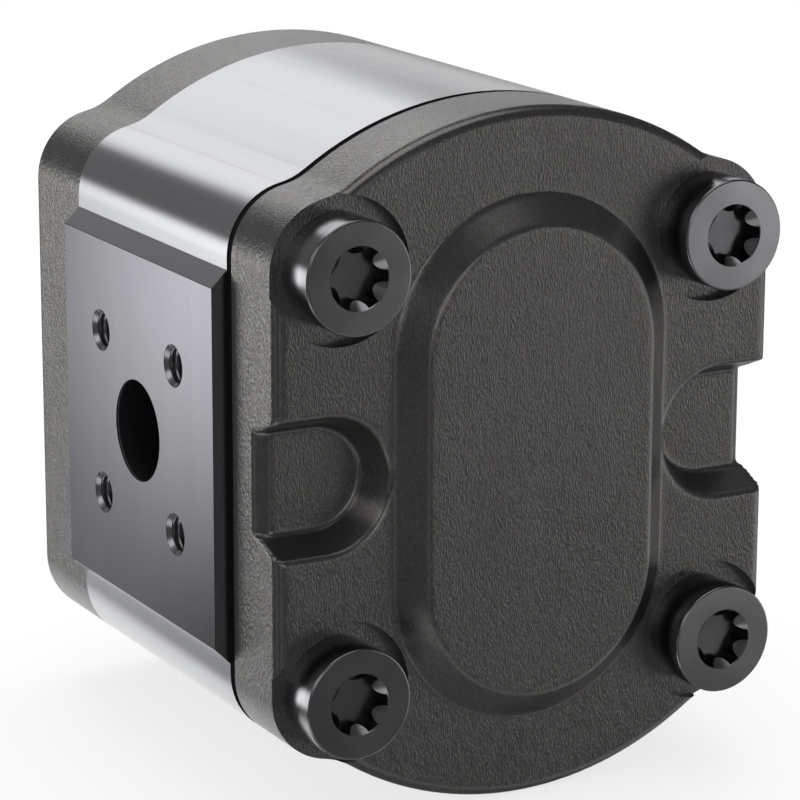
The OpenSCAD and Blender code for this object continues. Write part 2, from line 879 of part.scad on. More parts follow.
// Gear about the origin, with a tooth at the angle phase
module gear_form(phase) {
  intersection() {
    circle(tip_r);
    union() {
      circle(root_r);
      for (i = [0 : teeth - 1])
        rotate(phase + i * tooth_pitch)
          polygon(concat(
            [for (p = tooth_side) polar(p[0], -p[1])],
            [for (i = [len(tooth_side) - 1 : -1 : 0]) polar(tooth_side[i][0], tooth_side[i][1])]
          ));
    }
  }
}

// Points of one journal with a grinding undercut at the gear, from y_gear to y_end
function journal(y_gear, y_end) =
  let (way = sign(y_end - y_gear))
  [
    [undercut_r, y_gear], [undercut_r, y_gear + way * undercut_w],
    [journal_r, y_gear + way * (undercut_w + journal_r - undercut_r)],
    [journal_r, y_end - way * shaft_chamfer], [journal_r - shaft_chamfer, y_end]
  ];
function rear_journal() = journal(gear_rear_y, gear_rear_y - journal_len);

// One-piece gear between two journals, from the rear end to the given front points
module gear_and_shaft(z, phase, front) {
  rear = rear_journal();
  translate([0, 0, z])
    span(gear_rear_y, gear_front_y)
      gear_form(phase);
  turned(0, z, concat(
    [[0, rear[len(rear) - 1][1]]],
    [for (i = [len(rear) - 1 : -1 : 0]) rear[i]],
    front,
    [[0, front[len(front) - 1][1]]]
  ));
}

module drive_gear() {
  end_y = pilot_h + drive_end_len;
  end_r = drive_end_d / 2;
  tang_y = end_y + tang_len;
  front = concat(
    [for (i = [0 : 2]) journal(gear_front_y, pilot_h)[i]],
    [
      [journal_r, pilot_h], [end_r, pilot_h], [end_r, tang_y - shaft_chamfer],
      [end_r - shaft_chamfer, tang_y]
    ]
  );
  color([0.6, 0.61, 0.64])
    difference() {
      gear_and_shaft(0, -90, front);
      for (s = signs)
        translate([-journal_d, end_y, s > 0 ? tang_t / 2 : -tang_t / 2 - journal_d])
          cube([2 * journal_d, tang_len + over, journal_d]);
    }
}

module idler_gear() {
  color([0.6, 0.61, 0.64])
    gear_and_shaft(idler_z, 90 + tooth_pitch / 2, journal(gear_front_y, gear_front_y + journal_len));
}

rear_cover();
pump_body();
front_cover();
cover_screws();
rear_gasket();
front_body_seal();
front_bearing_block();
rear_bearing_block();
drive_bush_front();
drive_bush_rear();
idler_bush_front();
idler_bush_rear();
front_axial_seal();
rear_axial_seal();
front_support_rings();
rear_support_rings();
shaft_seal_case();
shaft_seal_lip();
shaft_seal_spring();
seal_circlip();
pilot_o_ring();
front_dowels();
rear_dowels();
drive_gear();
idler_gear();
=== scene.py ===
import math

import bmesh
import bpy
from mathutils import Matrix, Vector


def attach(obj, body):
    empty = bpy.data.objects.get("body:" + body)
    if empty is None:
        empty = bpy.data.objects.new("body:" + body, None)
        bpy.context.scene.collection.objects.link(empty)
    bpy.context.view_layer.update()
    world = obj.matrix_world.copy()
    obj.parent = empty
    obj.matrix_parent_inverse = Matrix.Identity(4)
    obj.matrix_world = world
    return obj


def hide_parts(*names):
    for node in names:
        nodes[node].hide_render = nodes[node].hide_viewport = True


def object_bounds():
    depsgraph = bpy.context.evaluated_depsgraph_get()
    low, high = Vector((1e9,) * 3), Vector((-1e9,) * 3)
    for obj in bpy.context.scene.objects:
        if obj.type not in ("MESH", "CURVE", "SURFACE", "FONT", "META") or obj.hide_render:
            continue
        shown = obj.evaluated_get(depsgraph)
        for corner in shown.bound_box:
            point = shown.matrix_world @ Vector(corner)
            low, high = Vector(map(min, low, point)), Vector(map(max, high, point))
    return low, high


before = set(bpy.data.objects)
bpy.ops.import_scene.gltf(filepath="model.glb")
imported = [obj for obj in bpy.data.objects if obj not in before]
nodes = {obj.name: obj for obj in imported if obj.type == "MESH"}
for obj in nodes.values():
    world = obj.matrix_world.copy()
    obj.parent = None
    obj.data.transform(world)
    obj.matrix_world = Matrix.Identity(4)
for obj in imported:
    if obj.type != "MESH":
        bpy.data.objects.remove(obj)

mm = 0.001
weld = 1e-4         # points closer than this are one, in millimetres
castCrease = 34     # degrees, sharper edges stay sharp in the shading
machinedCrease = 28
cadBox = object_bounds()
scene = bpy.context.scene


def report(stage):
    print("hydraulic pump:", stage)


# Levels of the housing, shared by several pieces, in millimetres
housing = {
    "midZ": -16.0,          # middle of the housing, between the two gear axes
    "frontJoint": -16.5,    # where the front cover meets the body
    "rearJoint": -67.9,     # where the rear cover meets its gasket
    "bodyMid": -41.5,       # where the ports lie along Y
    "screwAt": 30.0,        # cover screws, from the middle along X and Z
    "lugRadius": 10.0,
    "domeRadius": 50.0,
    "hollowRadius": 10.0,
}


def toMillimetres(bm):
    bmesh.ops.scale(bm, vec=(1 / mm,) * 3, verts=bm.verts)


def makePiece(bm, name, materials, creaseAngle=castCrease):
    bmesh.ops.scale(bm, vec=(mm,) * 3, verts=bm.verts)
    mesh = bpy.data.meshes.new(name)
    bm.to_mesh(mesh)
    bm.free()
    for material in materials:
        mesh.materials.append(material)
    if "custom_normal" in mesh.attributes:      # left by the copied solid, and wrong once it is cut
        mesh.attributes.remove(mesh.attributes["custom_normal"])
    piece = bpy.data.objects.new(name, mesh)
    scene.collection.objects.link(piece)
    softenShading(piece, creaseAngle)
    return piece


def softenShading(piece, creaseAngle):
    piece.data.shade_smooth()
    piece.data.set_sharp_from_angle(angle=math.radians(creaseAngle))


def bakeModifiers(piece):
    graph = bpy.context.evaluated_depsgraph_get()
    shaped = bpy.data.meshes.new_from_object(piece.evaluated_get(graph))
    old = piece.data
    piece.modifiers.clear()
    piece.data = shaped
    shaped.name = old.name
    bpy.data.meshes.remove(old)


def weighFlats(piece):
    # Flat walls keep a true normal beside a round
    weighted = piece.modifiers.new("flat walls", "WEIGHTED_NORMAL")
    weighted.keep_sharp = True
    weighted.weight = 100


def combine(piece, other, operation="DIFFERENCE"):
    joined = piece.modifiers.new("combine", "BOOLEAN")
    joined.operation = operation
    joined.solver = "EXACT"
    joined.object = other
    bakeModifiers(piece)
    bpy.data.objects.remove(other)


def spinPoint(bm, point, centre, degrees, steps):
    swept = bmesh.ops.spin(
        bm, geom=[point], cent=centre, axis=(0, -1, 0), dvec=(0, 0, 0),
        angle=math.radians(degrees), steps=steps,
    )
    return next(v for v in swept["geom_last"] if isinstance(v, bmesh.types.BMVert))


def turnedSolid(bm, centre, profile, steps=96):
    # profile: points of radius and Y, turned about an axis along Y
    points = [bm.verts.new((centre[0] + r, y, centre[1])) for r, y in profile]
    rim = [bm.edges.new(pair) for pair in zip(points, points[1:])]
    bmesh.ops.spin(
        bm, geom=points + rim, cent=(centre[0], 0, centre[1]), axis=(0, 1, 0), dvec=(0, 0, 0),
        angle=2 * math.pi, steps=steps, use_merge=True,
    )
    bmesh.ops.remove_doubles(bm, verts=bm.verts, dist=weld)


def outlineFace(bm, y):
    # Quarter outline by three arcs, mirrored twice and filled
    h = housing
    corner = h["screwAt"]
    toDome = h["domeRadius"] + h["hollowRadius"]
    toLug = h["lugRadius"] + h["hollowRadius"]
    lugAway = corner * math.sqrt(2)
    along = (toDome ** 2 - toLug ** 2 + lugAway ** 2) / (2 * lugAway)
    across = math.sqrt(toDome ** 2 - along ** 2)
    hollow = Vector((along - across, 0, along + across)) / math.sqrt(2)
    lugEnd = math.degrees(math.atan2(hollow.z - corner, hollow.x - corner))
    domeStart = math.degrees(math.atan2(hollow.z, hollow.x))
    side = bm.verts.new((corner + h["lugRadius"], y, 0))
    top = bm.verts.new((corner + h["lugRadius"], y, corner))
    bm.edges.new((side, top))
    lug = spinPoint(bm, top, (corner, y, corner), lugEnd, 16)
    dip = spinPoint(bm, lug, (hollow.x, y, hollow.z), domeStart - lugEnd, 8)
    spinPoint(bm, dip, (0, y, 0), 90 - domeStart, 16)
    for axis in "XZ":
        bmesh.ops.mirror(bm, geom=bm.verts[:] + bm.edges[:], merge_dist=weld, axis=axis)
    made = bmesh.ops.edgeloop_fill(bm, edges=bm.edges[:])
    return made["faces"][0]


def oblongLoop(bm, y, radius, reach):
    # Two half circles joined by straight sides
    upStart = bm.verts.new((radius, y, reach))
    upEnd = spinPoint(bm, upStart, (0, y, reach), 180, 48)
    lowStart = bm.verts.new((-radius, y, -reach))
    lowEnd = spinPoint(bm, lowStart, (0, y, -reach), 180, 48)
    bm.edges.new((upEnd, lowStart))
    bm.edges.new((lowEnd, upStart))
    return edgesAt(bm, y)


def edgesAt(bm, y):
    return [e for e in bm.edges if all(abs(v.co.y - y) < 1e-3 for v in e.verts)]


def loft(bm, loops):
    # Closed solid through edge loops that lie one behind the other
    for near, far in zip(loops, loops[1:]):
        bmesh.ops.bridge_loops(bm, edges=near + far)
    for end in (loops[0], loops[-1]):
        bmesh.ops.edgeloop_fill(bm, edges=end)
    bmesh.ops.recalc_face_normals(bm, faces=bm.faces)


def pull(bm, face, way):
    # Extrudes a face and gives the new end face
    moved = bmesh.ops.extrude_face_region(bm, geom=[face])
    verts = [v for v in moved["geom"] if isinstance(v, bmesh.types.BMVert)]
    bmesh.ops.translate(bm, vec=way, verts=verts)
    return next(f for f in moved["geom"] if isinstance(f, bmesh.types.BMFace))


def centreOnHousing(bm):
    bmesh.ops.translate(bm, vec=(0, 0, housing["midZ"]), verts=bm.verts)
    bmesh.ops.recalc_face_normals(bm, faces=bm.faces)


def addNode(tree, kind, inputs=None, **settings):
    node = tree.nodes.new("ShaderNode" + kind)
    for key, value in settings.items():
        setattr(node, key, value)
    for key, value in (inputs or {}).items():
        if isinstance(value, bpy.types.NodeSocket):
            tree.links.new(value, node.inputs[key])
        else:
            node.inputs[key].default_value = value
    return node


def maths(tree, operation, a, b=0.0, c=0.0, clamp=False):
    return addNode(tree, "Math", {0: a, 1: b, 2: c}, operation=operation, use_clamp=clamp).outputs[0]


def ramp(tree, value, low, high, toLow=0.0, toHigh=1.0):
    return addNode(
        tree, "MapRange", {"Value": value, 1: low, 2: high, 3: toLow, 4: toHigh},
        interpolation_type="SMOOTHSTEP",
    ).outputs[0]


def mixColour(tree, factor, a, b):
    return addNode(tree, "Mix", {0: factor, 6: a, 7: b}, data_type="RGBA").outputs[2]


def mixValue(tree, factor, a, b):
    return addNode(tree, "Mix", {0: factor, 2: a, 3: b}, data_type="FLOAT").outputs[0]


def newGroup(name, inputs, outputs):
    tree = bpy.data.node_groups.new(name, "ShaderNodeTree")
    for socket, value in inputs.items():
        made = tree.interface.new_socket(socket, in_out="INPUT", socket_type="NodeSocketFloat")
        made.default_value = value
    for socket in outputs:
        tree.interface.new_socket(socket, in_out="OUTPUT", socket_type="NodeSocketFloat")
    return tree, tree.nodes.new("NodeGroupInput"), tree.nodes.new("NodeGroupOutput")


def useGroup(tree, group, values):
    node = tree.nodes.new("ShaderNodeGroup")
    node.node_tree = group
    for key, value in values.items():
        node.inputs[key].default_value = value
    return node


def ownPlace(tree):
    return tree.nodes.new("ShaderNodeTexCoord").outputs["Object"]


def placed(tree, scale):
    return addNode(tree, "Mapping", {"Vector": ownPlace(tree), "Scale": scale}).outputs[0]


def scaledBy(tree, vector, factor):
    return addNode(tree, "VectorMath", {0: vector, "Scale": factor}, operation="SCALE").outputs[0]


def distanceIn(tree, vector, axes):
    # Length of a vector within the axes marked 1
    kept = addNode(tree, "VectorMath", {0: vector, 1: axes}, operation="MULTIPLY").outputs[0]
    return addNode(tree, "VectorMath", {0: kept}, operation="LENGTH").outputs["Value"]


castPattern = {
    "stretch": (1.7, 1.0, 0.6),     # grains longer upwards than across
    "wanderPerMetre": 420.0,
    "wanderBy": 0.0011,
    "finePerMetre": 3600.0,
    "broadPerMetre": 90.0,
    "faceFrom": (0.955, 0.995),     # how squarely a face meets Y, where the full grain sets in
    "rimFrom": (0.3, 0.05),
}


def castSkinGroup():
    # Leathery skin of a sand casting: rounded grains, fainter on slopes and rims
    c = castPattern
    tree, given, put = newGroup(
        "Cast skin", {"Grain per metre": 1500.0, "Slope smoothness": 0.8}, ["Height", "Tone"])
    coordinates = placed(tree, c["stretch"])
    wander = addNode(tree, "TexNoise", {"Vector": coordinates, "Scale": c["wanderPerMetre"], "Detail": 2.0})
    shifted = addNode(
        tree, "VectorMath", {0: coordinates, 1: scaledBy(tree, wander.outputs["Color"], c["wanderBy"])},
        operation="ADD").outputs[0]
    cells = addNode(
        tree, "TexVoronoi",
        {"Vector": shifted, "Scale": given.outputs["Grain per metre"], "Smoothness": 0.55, "Detail": 1.0},
        feature="SMOOTH_F1")
    fine = addNode(
        tree, "TexNoise", {"Vector": shifted, "Scale": c["finePerMetre"], "Detail": 3.0, "Roughness": 0.65})
    broad = addNode(tree, "TexNoise", {"Vector": coordinates, "Scale": c["broadPerMetre"], "Detail": 2.0})
    grains = maths(tree, "SUBTRACT", 1.0, cells.outputs["Distance"], clamp=True)
    height = maths(
        tree, "ADD", maths(tree, "MULTIPLY", grains, 0.65), maths(tree, "MULTIPLY", fine.outputs[0], 0.5))
    facing = tree.nodes.new("ShaderNodeTexCoord").outputs["Normal"]
    alongY = maths(tree, "ABSOLUTE", addNode(tree, "SeparateXYZ", {0: facing}).outputs["Y"])
    flat = maths(
        tree, "MAXIMUM", ramp(tree, alongY, *c["faceFrom"]), ramp(tree, alongY, *c["rimFrom"]))
    shown = maths(
        tree, "ADD", maths(tree, "MULTIPLY", flat, given.outputs["Slope smoothness"]),
        maths(tree, "SUBTRACT", 1.0, given.outputs["Slope smoothness"]))
    tree.links.new(maths(tree, "MULTIPLY", height, shown), put.inputs["Height"])
    tone = maths(
        tree, "ADD", maths(tree, "MULTIPLY", height, 0.8), maths(tree, "MULTIPLY", broad.outputs[0], 0.2))
    tree.links.new(tone, put.inputs["Tone"])
    return tree


def toolMarkGroup():
    # Fine streaks along one direction: the three inputs are marks per metre along each axis
    tree, given, put = newGroup(
        "Tool marks", {"Across": 1.0, "Along Y": 1.0, "Up": 1.0}, ["Height", "Bands"])
    stretch = addNode(tree, "CombineXYZ", {
        "X": given.outputs["Across"], "Y": given.outputs["Along Y"], "Z": given.outputs["Up"]})
    lines = addNode(
        tree, "VectorMath", {0: ownPlace(tree), 1: stretch.outputs[0]}, operation="MULTIPLY").outputs[0]
    scratches = addNode(tree, "TexNoise", {"Vector": lines, "Scale": 1.0, "Detail": 4.0, "Roughness": 0.7})
    bands = addNode(tree, "TexNoise", {
        "Vector": scaledBy(tree, lines, 0.12), "Scale": 1.0, "Detail": 2.0, "Roughness": 0.5})
    tree.links.new(scratches.outputs[0], put.inputs["Height"])
    tree.links.new(bands.outputs[0], put.inputs["Bands"])
    return tree


def turningGroup():
    # Fine rings about the drive shaft, from facing on a lathe
    tree, given, put = newGroup("Turning marks", {"Rings per metre": 2600.0}, ["Height", "Bands"])
    radius = distanceIn(tree, ownPlace(tree), (1, 0, 1))
    line = addNode(tree, "CombineXYZ", {
        "X": maths(tree, "MULTIPLY", radius, given.outputs["Rings per metre"])})
    for socket, scale in (("Height", 1.0), ("Bands", 0.16)):
        rings = addNode(tree, "TexNoise", {"Vector": line.outputs[0], "Scale": scale, "Detail": 3.0})
        tree.links.new(rings.outputs[0], put.inputs[socket])
    return tree


def smudgeGroup():
    # Broad, faint changes of gloss and tone, from handling and oil
    tree, given, put = newGroup("Smudges", {"Size per metre": 60.0, "Contrast": 1.0}, ["Value"])
    noise = addNode(tree, "TexNoise", {
        "Vector": ownPlace(tree), "Scale": given.outputs["Size per metre"], "Detail": 5.0, "Roughness": 0.6})
    centred = maths(
        tree, "MULTIPLY", maths(tree, "SUBTRACT", noise.outputs[0], 0.5), given.outputs["Contrast"])
    tree.links.new(maths(tree, "ADD", centred, 0.5, clamp=True), put.inputs["Value"])
    return tree


def edgeToneGroup():
    # Light on worn convex edges, and painted shade that darkens the hollows, from the edge attribute of a
    # piece
    tree, given, put = newGroup("Edge tone", {"Reach": 1.0}, ["Worn", "Hollow shade"])
    edge = addNode(tree, "Attribute", attribute_name="edge")
    bend = maths(tree, "MULTIPLY", edge.outputs["Fac"], given.outputs["Reach"])
    tree.links.new(ramp(tree, bend, 0.15, 0.9), put.inputs["Worn"])
    tree.links.new(ramp(tree, maths(tree, "MULTIPLY", bend, -1.0), 0.1, 0.9), put.inputs["Hollow shade"])
    return tree


castSkin = castSkinGroup()
toolMarks = toolMarkGroup()
turningMarks = turningGroup()
smudges = smudgeGroup()
edgeTone = edgeToneGroup()


def newMaterial(name, colour, roughness, metallic=0.0, specular=0.5):
    material = bpy.data.materials.new(name)
    material.use_nodes = True
    material.diffuse_color = (*colour, 1)
    tree = material.node_tree
    shader = tree.nodes["Principled BSDF"]
    shader.inputs["Base Color"].default_value = (*colour, 1)
    shader.inputs["Roughness"].default_value = roughness
    shader.inputs["Metallic"].default_value = metallic
    shader.inputs["Specular IOR Level"].default_value = specular
    return material, tree, shader


def addBump(tree, shader, height, strength, distance):
    bump = addNode(tree, "Bump", {"Height": height, "Strength": strength, "Distance": distance * mm})
    tree.links.new(bump.outputs[0], shader.inputs["Normal"])
    return bump


def feed(tree, shader, socket, value):
    tree.links.new(value, shader.inputs[socket])


castValues = {
    "colour": (0.235, 0.228, 0.22),
    # dark of the grains, also used as the painted shade in hollows
    "grainAndHollowShade": (0.17, 0.164, 0.158),
    "wornColour": (0.29, 0.282, 0.273),
    "metallic": 0.96,
    "roughness": (0.26, 0.33),
    "grainPerMetre": 2450.0,
    "bumpStrength": 0.75,
    "bumpHeight": 0.09,
}


def castMaterial():
    c = castValues
    material, tree, shader = newMaterial("Cast cover skin", c["colour"], 0.33, c["metallic"])
    skin = useGroup(tree, castSkin, {"Grain per metre": c["grainPerMetre"]})
    wearAndShade = useGroup(tree, edgeTone, {"Reach": 1.0})
    patch = useGroup(tree, smudges, {"Size per metre": 45.0, "Contrast": 1.4})
    grained = mixColour(
        tree, ramp(tree, skin.outputs["Tone"], 0.3, 0.72), (*c["grainAndHollowShade"], 1), (*c["colour"], 1))
    rubbed = mixColour(
        tree, maths(tree, "MULTIPLY", wearAndShade.outputs["Worn"], 0.04), grained, (*c["wornColour"], 1))
    # painted shade: hollows and recesses darkened towards the grain's dark colour
    sunk = mixColour(
        tree, maths(tree, "MULTIPLY", wearAndShade.outputs["Hollow shade"], 0.4), rubbed, (*c["grainAndHollowShade"], 1))
    feed(tree, shader, "Base Color", sunk)
    feed(tree, shader, "Roughness", ramp(tree, patch.outputs[0], 0.0, 1.0, *c["roughness"]))
    addBump(tree, shader, skin.outputs["Height"], c["bumpStrength"], c["bumpHeight"])
    return material


bodyValues = {
    "drawn": ((0.445, 0.453, 0.472), (0.465, 0.473, 0.492)),
    "milled": ((0.216, 0.216, 0.24), (0.228, 0.228, 0.252)),
    "bore": (0.004, 0.004, 0.004),  # painted shade: near black and not metallic inside the ports, where shade falls
    "drawnRoughness": (0.22, 0.24),
    "milledRoughness": (0.12, 0.15),
    "boreRoughness": 0.6,
    "padFrom": 0.0423,              # metres from the middle along X, where the milled pad begins
    "boreTo": 0.0422,
    "boreRadii": (0.0076, 0.0101),  # on the pressure side and on the suction side
    "portPlace": (0, -0.0415, -0.016),
    "blend": 0.00005,
    "relief": 0.08,
}


def bodyMasks(tree):
    # 1 on the milled pads, and 1 on the walls of the two ports, which get the painted shade
    v = bodyValues
    place = ownPlace(tree)
    x = addNode(tree, "SeparateXYZ", {0: place}).outputs["X"]
    away = maths(tree, "ABSOLUTE", x)
    pad = ramp(tree, away, v["padFrom"], v["padFrom"] + v["blend"])
    centred = addNode(tree, "VectorMath", {0: place, 1: v["portPlace"]}, operation="SUBTRACT").outputs[0]
    limit = ramp(tree, x, -0.001, 0.001, *v["boreRadii"])
    beyond = maths(tree, "SUBTRACT", distanceIn(tree, centred, (0, 1, 1)), limit)
    within = ramp(tree, beyond, -v["blend"], v["blend"], 1.0, 0.0)
    return pad, maths(tree, "MULTIPLY", within, ramp(tree, away, v["boreTo"] - 0.0002, v["boreTo"], 1.0, 0.0))


def bodyMaterial():
    v = bodyValues
    material, tree, shader = newMaterial("Drawn aluminium body", v["drawn"][0], 0.26, 1.0)
    streaks = useGroup(tree, toolMarks, {"Across": 2600.0, "Along Y": 26.0, "Up": 2600.0})
    milling = useGroup(tree, toolMarks, {"Across": 300.0, "Along Y": 1600.0, "Up": 40.0})
    patch = useGroup(tree, smudges, {"Size per metre": 40.0, "Contrast": 1.2})
    pad, bore = bodyMasks(tree)
    drawn, milled = (
        mixColour(tree, ramp(tree, marks.outputs["Bands"], 0.3, 0.7), (*v[name][0], 1), (*v[name][1], 1))
        for marks, name in ((streaks, "drawn"), (milling, "milled")))
    # the port walls take the painted shade colour, and lose their metal below
    feed(tree, shader, "Base Color", mixColour(
        tree, bore, mixColour(tree, pad, drawn, milled), (*v["bore"], 1)))
    gloss = mixValue(
        tree, pad, ramp(tree, streaks.outputs["Height"], 0.3, 0.7, *v["drawnRoughness"]),
        ramp(tree, patch.outputs[0], 0.0, 1.0, *v["milledRoughness"]))
    feed(tree, shader, "Roughness", mixValue(tree, bore, gloss, v["boreRoughness"]))
    feed(tree, shader, "Metallic", maths(tree, "SUBTRACT", 1.0, bore))
    relief = mixValue(tree, pad, streaks.outputs["Height"], milling.outputs["Height"])
    addBump(tree, shader, relief, v["relief"], 0.006)
    return material


def machinedMaterial(name, colour, roughness, marks, bump=0.004, metallic=1.0):
    # Turned, ground or milled metal with marks across, along Y and up
    material, tree, shader = newMaterial(name, colour, roughness, metallic)
    cut = useGroup(tree, toolMarks, dict(zip(("Across", "Along Y", "Up"), marks)))
    patch = useGroup(tree, smudges, {"Size per metre": 70.0, "Contrast": 1.3})
    darker = tuple(c * 0.82 for c in colour)
    lighter = tuple(min(1.0, c * 1.1) for c in colour)
    feed(tree, shader, "Base Color", mixColour(
        tree, ramp(tree, cut.outputs["Bands"], 0.3, 0.7), (*darker, 1), (*lighter, 1)))
    feed(tree, shader, "Roughness", ramp(
        tree, patch.outputs[0], 0.0, 1.0, roughness * 0.8, roughness * 1.25))
    addBump(tree, shader, cut.outputs["Height"], 0.4, bump)
    return material


def mouldedMaterial(name, colour, roughness, grainPerMetre, bump, specular=0.4):
    # Rubber, gasket paper and plastic: a matte skin with fine grain and faint patches
    material, tree, shader = newMaterial(name, colour, roughness, 0.0, specular)
    grain = addNode(tree, "TexNoise", {
        "Vector": ownPlace(tree), "Scale": grainPerMetre, "Detail": 4.0, "Roughness": 0.6})
    patch = useGroup(tree, smudges, {"Size per metre": 120.0, "Contrast": 1.4})
    darker = tuple(c * 0.75 for c in colour)
    lighter = tuple(min(1.0, c * 1.2) for c in colour)
    feed(tree, shader, "Base Color", mixColour(
        tree, ramp(tree, grain.outputs[0], 0.35, 0.65), (*darker, 1), (*lighter, 1)))
    feed(tree, shader, "Roughness", ramp(
        tree, patch.outputs[0], 0.0, 1.0, roughness - 0.08, min(1.0, roughness + 0.1)))
    addBump(tree, shader, grain.outputs[0], 0.5, bump)
    return material


def facedMaterial(name, colour, roughness):
    # Turned face of the mounting cover
    material, tree, shader = newMaterial(name, colour, roughness, 1.0)
    rings = useGroup(tree, turningMarks, {"Rings per metre": 2600.0})
    patch = useGroup(tree, smudges, {"Size per metre": 35.0, "Contrast": 1.0})
    darker = tuple(c * 0.88 for c in colour)
    feed(tree, shader, "Base Color", mixColour(
        tree, ramp(tree, rings.outputs["Bands"], 0.3, 0.7), (*darker, 1), (*colour, 1)))
    feed(tree, shader, "Roughness", ramp(
        tree, patch.outputs[0], 0.0, 1.0, roughness - 0.03, roughness + 0.03))
    addBump(tree, shader, rings.outputs["Height"], 0.3, 0.005)
    return material


# metals: name, colour, roughness, marks per metre across, along Y and up, and the relief in millimetres
castCover = castMaterial()
drawnBody = bodyMaterial()
facedCover = facedMaterial("Faced mounting cover", (0.36, 0.355, 0.35), 0.33)
darkScrew = machinedMaterial("Blackened screw steel", (0.32, 0.32, 0.335), 0.2, (700.0, 5200.0, 700.0), 0.002)
# painted shade: the socket's walls near black and its floor darker than the head
shadedSocketWall = machinedMaterial("Socket wall in painted shade", (0.03, 0.03, 0.032), 0.4, (900.0,) * 3, 0.002)
shadedSocketFloor = machinedMaterial("Socket floor in painted shade", (0.21, 0.21, 0.222), 0.24, (900.0,) * 3, 0.002)
groundSteel = machinedMaterial("Ground gear steel", (0.5, 0.505, 0.52), 0.24, (500.0, 6000.0, 500.0), 0.003)
springSteel = machinedMaterial("Phosphated spring steel", (0.2, 0.2, 0.205), 0.38, (2200.0,) * 3, 0.005)
sealSteel = machinedMaterial("Pressed seal case", (0.34, 0.345, 0.36), 0.33, (1800.0,) * 3, 0.004)
bearingBronze = machinedMaterial("Bearing bronze", (0.5, 0.36, 0.2), 0.36, (600.0, 4200.0, 600.0), 0.004)
blockAluminium = machinedMaterial(
    "Turned block aluminium", (0.6, 0.61, 0.63), 0.3, (2400.0, 300.0, 2400.0), 0.004)
# a black gasket, its colour taken nearly to pure black as painted shade of the joint's gap
shadedBlackGasket = mouldedMaterial("Black gasket with painted joint shade", (0.005, 0.005, 0.006), 0.75, 2600.0, 0.02, 0.08)
blackRubber = mouldedMaterial("Black seal rubber", (0.022, 0.022, 0.023), 0.5, 1800.0, 0.015)
sealPlastic = mouldedMaterial("Seal back-up plastic", (0.62, 0.56, 0.42), 0.48, 1500.0, 0.01)
report("materials ready")


# Rear cover: a cast blank softened all over, then cut

rearCover = {
    "thickness": 13.25,
    "rimRound": 1.5,
    "oblongRise": 3.45,
    "oblongFoot": 22.0,
    "oblongTop": 18.0,
    "oblongReach": 16.0,
    "recessDepth": 5.45,
    "recessFloor": 7.5,
    "recessDraft": 2.3,
    "recessCentre": 32.0,
    "recessBevel": 1.8,
    "spotFace": 10.5,
    "spotDepth": 1.75,
    "screwHole": 5.5,
    "shaftRecess": (9.5, 2.0),      # radius and depth over each shaft end
    "leakWay": (16.5165, 4.0),      # reach and width of the way to the suction side
    "dowelHole": (2.53, 4.8),
    "dowelAt": (33.0, 14.0),
    "voxel": 0.4,
    "softSteps": 3,
    "edgeSteps": 6,                 # smoothing that finds the edges for the edge tone
    "edgeGain": 9000.0,
    "spare": 2.0,                   # cast past the joint, and cut off again
}


def slotLoop(bm, side, y, radius):
    # Half circle towards the middle, open past the side of the housing
    c = rearCover
    centre = (side * c["recessCentre"], y, 0)
    end = side * (housing["screwAt"] + housing["lugRadius"] + c["recessDraft"])
    start = bm.verts.new((centre[0], y, side * radius))
    turned = spinPoint(bm, start, centre, 180, 40)
    outer = [bm.verts.new((end, y, v.co.z)) for v in (turned, start)]
    for pair in ((turned, outer[0]), outer, (outer[1], start)):
        bm.edges.new(pair)
    return edgesAt(bm, y)


def recessTool(side, face):
    # Half-round slot that narrows to its floor
    c = rearCover
    draft = c["recessDraft"] / c["recessDepth"]
    bm = bmesh.new()
    loft(bm, [
        slotLoop(bm, side, face + depth, c["recessFloor"] + (c["recessDepth"] - depth) * draft)
        for depth in (-1, c["recessDepth"])
    ])
    centreOnHousing(bm)
    return makePiece(bm, "recess tool", [])


def bevelTool(side, face):
    # Wedge that bevels the open edge of the recess's floor
    c = rearCover
    edge = housing["screwAt"] + housing["lugRadius"]
    floor = face + c["recessDepth"]
    bm = bmesh.new()
    corners = [
        bm.verts.new((x * side, y, -c["recessFloor"]))
        for x, y in (
            (edge - c["recessBevel"], floor - 1), (edge - c["recessBevel"], floor),
            (edge + 2, floor + c["recessBevel"] + 2), (edge + 2, floor - 1))
    ]
    pull(bm, bm.faces.new(corners), (0, 0, 2 * c["recessFloor"]))
    centreOnHousing(bm)
    return makePiece(bm, "bevel tool", [])


def raisedOblong(face):
    c = rearCover
    bm = bmesh.new()
    loft(bm, [
        oblongLoop(bm, y, radius, c["oblongReach"])
        for y, radius in (
            (face + 1, c["oblongFoot"]), (face, c["oblongFoot"]), (face - c["oblongRise"], c["oblongTop"]))
    ])
    centreOnHousing(bm)
    return makePiece(bm, "raised oblong", [])


def shapeCastBlank(face):
    c = rearCover
    bm = bmesh.new()
    base = outlineFace(bm, housing["rearJoint"] + c["spare"])
    top = pull(bm, base, (0, -c["thickness"] - c["spare"], 0))
    bmesh.ops.bevel(
        bm, geom=list(top.edges), offset=c["rimRound"], segments=5, profile=0.5, affect="EDGES",
        material=-1)
    centreOnHousing(bm)
    cover = makePiece(bm, "rearCoverCasting", [castCover])
    combine(cover, raisedOblong(face), "UNION")
    for side in (-1, 1):
        combine(cover, recessTool(side, face))
        combine(cover, bevelTool(side, face))
    return cover


